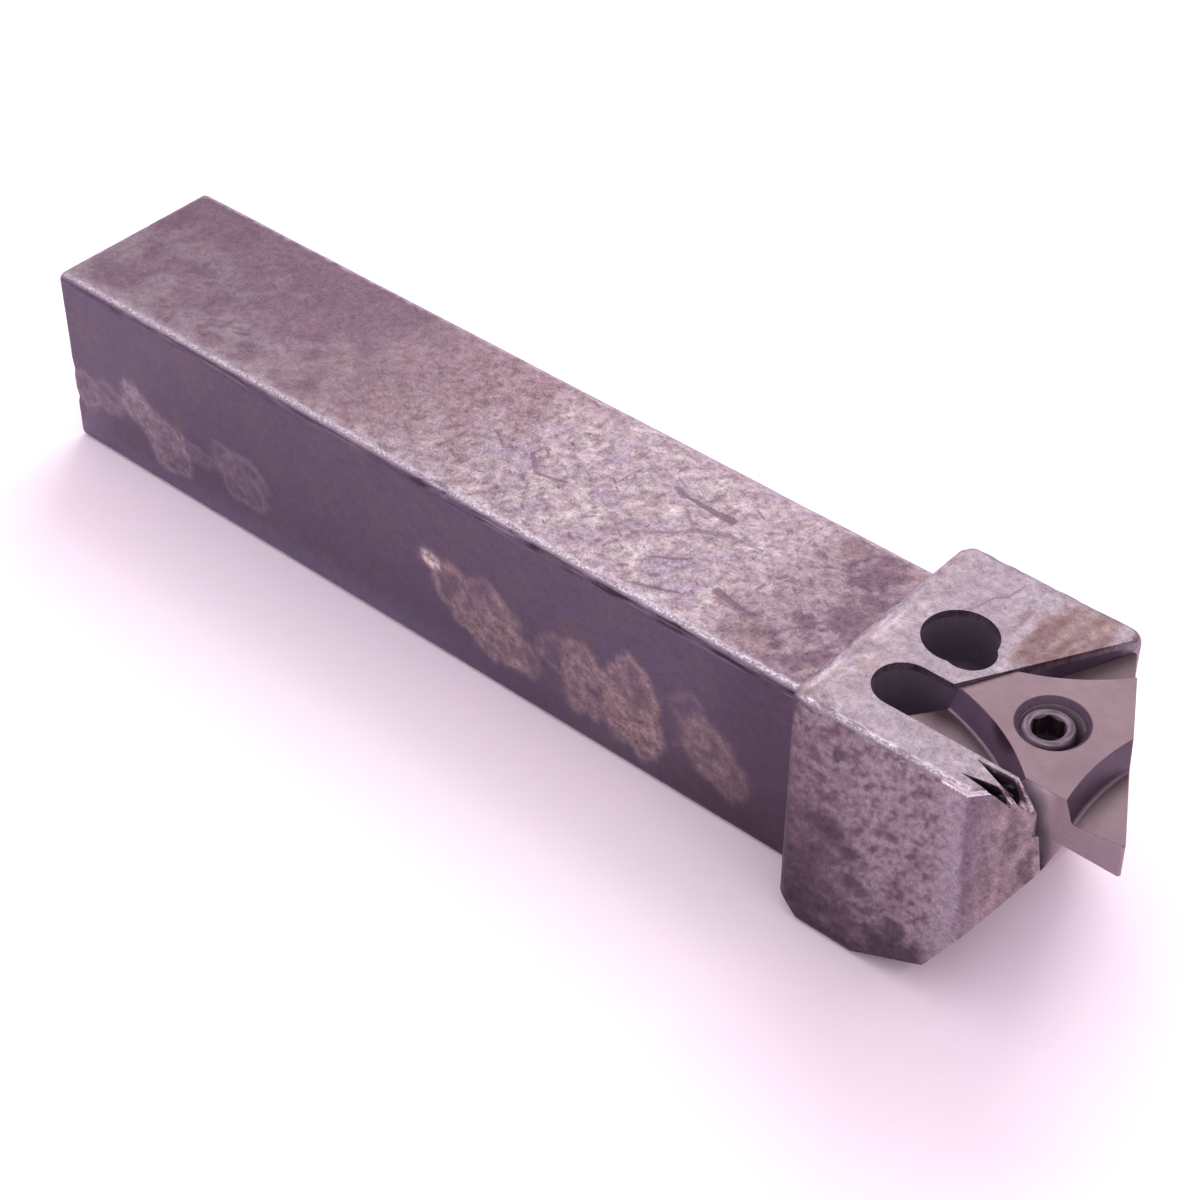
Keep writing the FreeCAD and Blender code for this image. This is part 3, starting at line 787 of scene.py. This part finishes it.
def holder_material():
    """Dark, oily steel over its paint: grain, dabs, scars, torn fibres at the lip, bare edges with painted
    glints, torn metal with painted glints and painted shade in its gouges, and painted light and shade inside
    the head.
    """
    material, tree, shader, place = new_material("holder_steel")
    parts = node(tree, "ShaderNodeSeparateXYZ", {0: place}).outputs
    x, y, z = parts["X"], parts["Y"], parts["Z"]
    rough = attribute(tree, "rough")
    behind_head = ramp(tree, x, head_rear - 0.4, head_rear + 0.1, 1.0, 0.0)
    on_shank_top = product(tree, ramp(tree, z, shank_top - 1.0, shank_top - 0.2), behind_head)

    clots = noise(tree, place, 1.0, 4.0, 0.66)
    grain = noise(tree, place, 0.28, 2.0, 0.6)
    colour = node(tree, "ShaderNodeAttribute", attribute_name="paint").outputs["Color"]
    unrest = reckon(tree, "MULTIPLY", reckon(tree, "SUBTRACT", clots, 0.5), 2.1)
    unrest = reckon(tree, "MULTIPLY_ADD", reckon(tree, "SUBTRACT", grain, 0.5), 1.3, unrest)
    colour = shaded(tree, colour, product(tree, unrest, rough))

    thinned = ramp(tree, noise(tree, place, 5.0, 2.0), 0.38, 0.60, 0.25, 1.0)
    crumbled = product(tree, on_shank_top, ramp(tree, x, -24.0, 6.0, 0.35, 1.0), thinned)
    dabs = [
        use(tree, "dabs", {"Place": place, "Turn": turn, "Level": level})["Mask"]
        for turn, level in ((0.5, 0.62), (-0.55, 0.69), (1.7, 0.64))
    ]
    dabs = product(tree, strongest(tree, dabs), crumbled)
    colour = blend(tree, product(tree, dabs, 0.8), colour, srgb(92, 69, 78))

    medium = use(tree, "mottle", {"Place": place, "Size": 3.2})
    specks = product(tree, medium["Specks"], reckon(tree, "SUBTRACT", 1.0, behind_head))
    colour = blend(tree, product(tree, specks, 0.65), colour, srgb(84, 62, 76))

    top_place = vector_sum(tree, "MULTIPLY", place, (1, 1, 0)).outputs[0]
    scars = [
        product(tree, stroke(tree, top_place, start, end, width, spread), strength)
        for start, end, width, spread, strength in top_scars.values()
    ]
    cuts = product(tree, strongest(tree, scars), on_shank_top)
    crack = [
        stroke(tree, top_place, start, end, crack_width, 0.0)
        for start, end in zip(head_crack, head_crack[1:])
    ]
    on_head_top = ramp(tree, z, head_top - 0.9, head_top - 0.3)
    cuts = reckon(tree, "MAXIMUM", cuts, product(tree, strongest(tree, crack), on_head_top, 0.6))
    colour = blend(tree, product(tree, cuts, 0.85), colour, srgb(88, 66, 81))

    below_lip = product(tree, ramp(tree, z, shank_top - 1.9, shank_top - 0.9), behind_head)
    below_lip = product(tree, below_lip, ramp(tree, z, shank_top - 0.35, shank_top - 0.6, 0.0, 1.0))
    below_lip = product(tree, below_lip, ramp(tree, y, shank_near + 0.5, shank_near + 0.9, 1.0, 0.0))
    below_lip = product(tree, below_lip, ramp(tree, x, -10.0, 12.0, 0.5, 1.0))
    strands = noise(tree, stretched(tree, place, (11.0, 1.0, 1.0)), 0.55, 3.0, 0.55)
    pale_strands = product(tree, below_lip, ramp(tree, strands, 0.52, 0.64), 0.8)
    colour = blend(tree, pale_strands, colour, srgb(134, 122, 132))
    dark_strands = product(tree, below_lip, ramp(tree, strands, 0.40, 0.50, 1.0, 0.0))
    colour = blend(tree, product(tree, dark_strands, 0.95), colour, srgb(52, 41, 52))

    worn = attribute(tree, "edge")
    bare = use(tree, "wear", {"Place": place, "Edge": worn})["Mask"]
    colour = blend(tree, product(tree, bare, 0.8), colour, srgb(156, 145, 156))
    # Painted highlight: white glints along the most worn edges
    glint = product(tree, ramp(tree, worn, 0.70, 0.97), ramp(tree, grain, 0.42, 0.62))
    colour = blend(tree, product(tree, glint, 0.8), colour, srgb(214, 204, 214))
    torn = attribute(tree, "torn")
    fibres = noise(tree, stretched(tree, place, (5.0, 1.0, 1.0)), 0.5, 4.0, 0.6)
    # Torn metal: bare fibres with painted white glints
    torn_glints_and_shade = blend(tree, ramp(tree, fibres, 0.34, 0.50), srgb(150, 128, 140), srgb(216, 204, 212))
    # Painted shade deep in the gouges
    gouge_shade = attribute(tree, "gouge_shade")
    torn_glints_and_shade = blend(tree, product(tree, gouge_shade, ramp(tree, fibres, 0.70, 0.58)), torn_glints_and_shade, srgb(58, 44, 56))
    colour = blend(tree, torn, colour, torn_glints_and_shade)
    # Painted light and shade inside the head's holes and pocket: lighter towards the rear, darker towards the
    # front
    inside = attribute(tree, "inside")
    recess_light_and_shade = blend(tree, ramp(tree, x, 76.5, 78.0), srgb(158, 144, 165), srgb(112, 95, 113))
    colour = blend(tree, product(tree, inside, 0.9), colour, recess_light_and_shade)

    dull = reckon(tree, "MULTIPLY_ADD", clots, 0.12, 0.44)
    dull = reckon(tree, "MULTIPLY_ADD", bare, -0.04, dull)
    dull = reckon(tree, "MULTIPLY_ADD", torn, -0.14, dull)
    coarse = reckon(tree, "MULTIPLY_ADD", worn, 0.5, rough)
    height = product(tree, reckon(tree, "MULTIPLY_ADD", clots, 2.2, grain), coarse)
    height = reckon(tree, "MULTIPLY_ADD", dabs, -0.5, height)
    height = reckon(tree, "MULTIPLY_ADD", cuts, -0.6, height)
    height = reckon(tree, "MULTIPLY_ADD", dark_strands, -1.2, height)
    height = reckon(tree, "MULTIPLY_ADD", product(tree, fibres, torn), 2.0, height)
    finish_surface(tree, shader, colour, dull, height, strength=0.5, reach=0.07, metallic=0.85)
    return material


def facing_up(tree):
    """How far a surface faces up: 1 on a level face, 0 on an upright one."""
    normal = tree.nodes.new("ShaderNodeTexCoord").outputs["Normal"]
    return node(tree, "ShaderNodeSeparateXYZ", {0: normal}).outputs["Z"]


def ground_material(name, level, upright, rear_wall, front_wall, roughness):
    """Ground hard metal: faintly clouded, with fine grinding lines; level faces are darker than sides. Sides
    beside the cheek are painted lighter against the shade that falls there, and sloped walls are painted dark
    round the hole as shade.
    """
    material, tree, shader, place = new_material(name)
    clouds_here = use(tree, "mottle", {"Place": place, "Size": 6.0})
    lines = noise(tree, stretched(tree, place, (9.0, 9.0, 0.6)), 0.25, 3.0, 0.6)
    up = facing_up(tree)
    along = node(tree, "ShaderNodeSeparateXYZ", {0: place}).outputs["X"]
    # Sloped walls: one colour at the rear, another at the front, where the insert's walls take a painted dark
    # reflection
    walls = blend(tree, ramp(tree, along, 84.0, 88.0), rear_wall, front_wall)
    off_hole = vector_sum(tree, "SUBTRACT", place, (*pin_axis, head_top)).outputs[0]
    reach = node(tree, "ShaderNodeVectorMath", {0: off_hole}, operation="LENGTH").outputs["Value"]
    # Painted shade on the sloped walls round the pin's hole
    walls = blend(tree, ramp(tree, reach, 6.5, 5.5), walls, srgb(82, 67, 81))
    # Painted light on the sides beside the cheek, against the shade that falls between them
    colour = blend(tree, ramp(tree, along, 85.5, 89.0), srgb(238, 222, 232), upright)
    colour = blend(tree, ramp(tree, up, 0.12, 0.22), colour, walls)
    colour = blend(tree, ramp(tree, up, 0.80, 0.93), colour, level)
    unrest = reckon(tree, "MULTIPLY", reckon(tree, "SUBTRACT", clouds_here["Cloud"], 0.5), 0.10)
    unrest = reckon(tree, "MULTIPLY_ADD", reckon(tree, "SUBTRACT", clouds_here["Grain"], 0.5), 0.30, unrest)
    unrest = reckon(tree, "MULTIPLY_ADD", reckon(tree, "SUBTRACT", lines, 0.5), 0.25, unrest)
    colour = shaded(tree, colour, unrest)
    colour = blend(tree, product(tree, clouds_here["Specks"], 0.25), colour, srgb(84, 66, 74))
    dull = reckon(tree, "MULTIPLY_ADD", clouds_here["Cloud"], 0.08, roughness)
    height = reckon(tree, "MULTIPLY_ADD", clouds_here["Grain"], 0.4, lines)
    finish_surface(tree, shader, colour, dull, height, strength=0.18, reach=0.03, metallic=0.8)
    return material


def pin_material():
    """Blackened steel of the lock pin, turned in fine circles, with brown oil in it and a rubbed head."""
    material, tree, shader, place = new_material("pin_steel")
    patches = use(tree, "mottle", {"Place": place, "Size": 2.5})
    off_axis = vector_sum(tree, "SUBTRACT", place, (*pin_axis, 0)).outputs[0]
    off_axis = vector_sum(tree, "MULTIPLY", off_axis, (1, 1, 0)).outputs[0]
    radius = node(tree, "ShaderNodeVectorMath", {0: off_axis}, operation="LENGTH").outputs["Value"]
    circles = reckon(tree, "SINE", reckon(tree, "MULTIPLY", radius, 12.0))
    colour = blend(tree, patches["Cloud"], srgb(78, 64, 75), srgb(64, 51, 61))
    colour = blend(tree, product(tree, ramp(tree, circles, 0.4, 1.0), 0.45), colour, srgb(112, 97, 108))
    colour = blend(tree, product(tree, patches["Specks"], 0.4), colour, srgb(60, 44, 52))
    dull = reckon(tree, "MULTIPLY_ADD", patches["Cloud"], 0.12, 0.40)
    height = reckon(tree, "MULTIPLY_ADD", circles, 0.25, patches["Grain"])
    finish_surface(tree, shader, colour, dull, height, strength=0.3, reach=0.04, metallic=0.85)
    return material


# Camera: its place in metres, its angles, and its lens and sensor in millimetres
camera_place = Vector((172.17, -178.44, 212.09)) * MM
camera_turn = math.radians(40.60)
camera_dip = math.radians(40.97)
camera_roll = math.radians(0.36)
camera_lens = 79.21
camera_sensor = 36.0


def add_camera():
    """The photograph's viewpoint: turned about the vertical, dipped below level, and rolled a little."""
    right = Vector((math.cos(camera_turn), math.sin(camera_turn), 0))
    ahead = Vector((
        -math.sin(camera_turn) * math.cos(camera_dip),
        math.cos(camera_turn) * math.cos(camera_dip),
        -math.sin(camera_dip),
    ))
    up = right.cross(ahead)
    rolled_right = right * math.cos(camera_roll) + up * math.sin(camera_roll)
    rolled_up = up * math.cos(camera_roll) - right * math.sin(camera_roll)
    data = bpy.data.cameras.new("camera")
    data.lens = camera_lens
    data.sensor_width = camera_sensor
    data.clip_start = 0.005
    camera = bpy.data.objects.new("camera", data)
    bpy.context.scene.collection.objects.link(camera)
    turn = Matrix((rolled_right, rolled_up, -ahead)).transposed().to_4x4()
    camera.matrix_world = Matrix.Translation(camera_place) @ turn
    bpy.context.scene.camera = camera


# Light: a white sky, and a lamp with its place, target and size in metres
sky_colour = (1.0, 0.985, 1.0, 1)
sky_strength = 1.24
lamp_place = (-0.16, 0.42, 0.48)
lamp_target = (0.03, 0, 0)
lamp_size = 0.42
lamp_watts = 2.4
lamp_colour = (1.0, 0.985, 0.99)


def add_area_light(name, place, target, size, watts, colour):
    """A square soft box at a place, facing a target."""
    data = bpy.data.lights.new(name, "AREA")
    data.size = size
    data.energy = watts
    data.color = colour
    lamp = bpy.data.objects.new(name, data)
    bpy.context.scene.collection.objects.link(lamp)
    lamp.location = place
    aim = Vector(target) - Vector(place)
    lamp.rotation_euler = aim.to_track_quat("-Z", "Y").to_euler()


def add_studio():
    """White surroundings and one large soft box, high up beyond the tool."""
    world = bpy.data.worlds.new("studio")
    world.use_nodes = True
    sky = world.node_tree.nodes["Background"]
    sky.inputs["Color"].default_value = sky_colour
    sky.inputs["Strength"].default_value = sky_strength
    bpy.context.scene.world = world
    add_area_light("overhead", lamp_place, lamp_target, lamp_size, lamp_watts, lamp_colour)


def floor_material():
    """Matt pale paper."""
    material = bpy.data.materials.new("pale_floor")
    material.use_nodes = True
    shader = material.node_tree.nodes["Principled BSDF"]
    shader.inputs["Base Color"].default_value = (0.95, 0.845, 0.925, 1)
    shader.inputs["Roughness"].default_value = 0.95
    shader.inputs["Specular IOR Level"].default_value = 0.1
    return material


def add_floor():
    """A round floor whose rim rises as a quarter circle into a wall, so that no horizon shows."""
    flat, bend, wall, hub, below_base = 1.6, 0.5, 1.2, 1e-4, 2e-5
    quarter = np.linspace(0, math.pi / 2, 12)
    radii = np.concatenate([[hub, 0.3, 0.8], flat + bend * np.sin(quarter), [flat + bend]])
    heights = np.concatenate([[0, 0, 0], bend * (1 - np.cos(quarter)), [bend + wall]])
    around = 64
    turns = np.linspace(0, 2 * math.pi, around + 1)[:-1]
    x = radii[:, None] * np.cos(turns)
    y = radii[:, None] * np.sin(turns)
    z = np.broadcast_to(heights[:, None], x.shape) - below_base
    points = np.stack([x, y, z], axis=-1).reshape(-1, 3)
    row, column = np.meshgrid(np.arange(len(radii) - 1), np.arange(around), indexing="ij")
    after = (column + 1) % around
    inner, outer = row * around, (row + 1) * around
    faces = np.stack([inner + column, outer + column, outer + after, inner + after], -1)
    mesh = bpy.data.meshes.new("floor")
    mesh.from_pydata(points.tolist(), [], faces.reshape(-1, 4).tolist())
    mesh.shade_smooth()
    mesh.materials.append(floor_material())
    floor = bpy.data.objects.new("floor", mesh)
    bpy.context.scene.collection.objects.link(floor)


def eased_piece(name, body, ease, material):
    """A node's merged mesh with its sharp edges broken by a narrow two-step bevel, in place of the node."""
    bm = merged(name)
    sharp = [edge for edge in bm.edges if edge.calc_face_angle(0) > smooth_angle]
    bmesh.ops.bevel(
        bm, geom=sharp, offset=ease * MM, segments=2, profile=0.5, affect="EDGES", clamp_overlap=True
    )
    mesh = plain_mesh(bm, name + "_eased")
    mesh.shade_smooth()
    mesh.set_sharp_from_angle(angle=eased_angle)
    mesh.materials.append(material)
    piece = bpy.data.objects.new(name + "_eased", mesh)
    bpy.context.scene.collection.objects.link(piece)
    by_area = piece.modifiers.new("by_area", "WEIGHTED_NORMAL")
    by_area.keep_sharp = True
    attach(piece, body)
    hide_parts(name)


add_camera()
add_studio()
add_floor()
worn_holder()
carbide = ground_material(
    "carbide",
    level=srgb(97, 80, 86),
    upright=srgb(146, 129, 136),
    rear_wall=srgb(146, 126, 148),
    # Front walls: a painted dark reflection
    front_wall=srgb(92, 77, 92),
    roughness=0.42,
)
seat_carbide = ground_material(
    "seat_carbide",
    level=srgb(120, 102, 112),
    upright=srgb(168, 150, 160),
    rear_wall=srgb(150, 130, 140),
    front_wall=srgb(150, 130, 140),
    roughness=0.44,
)
eased_piece("insert", "holder", 0.09, carbide)
eased_piece("seat_plate", "holder", 0.07, seat_carbide)
eased_piece("lock_pin", "lock_pin", 0.06, pin_material())

bpy.context.scene.view_settings.view_transform = "Standard"
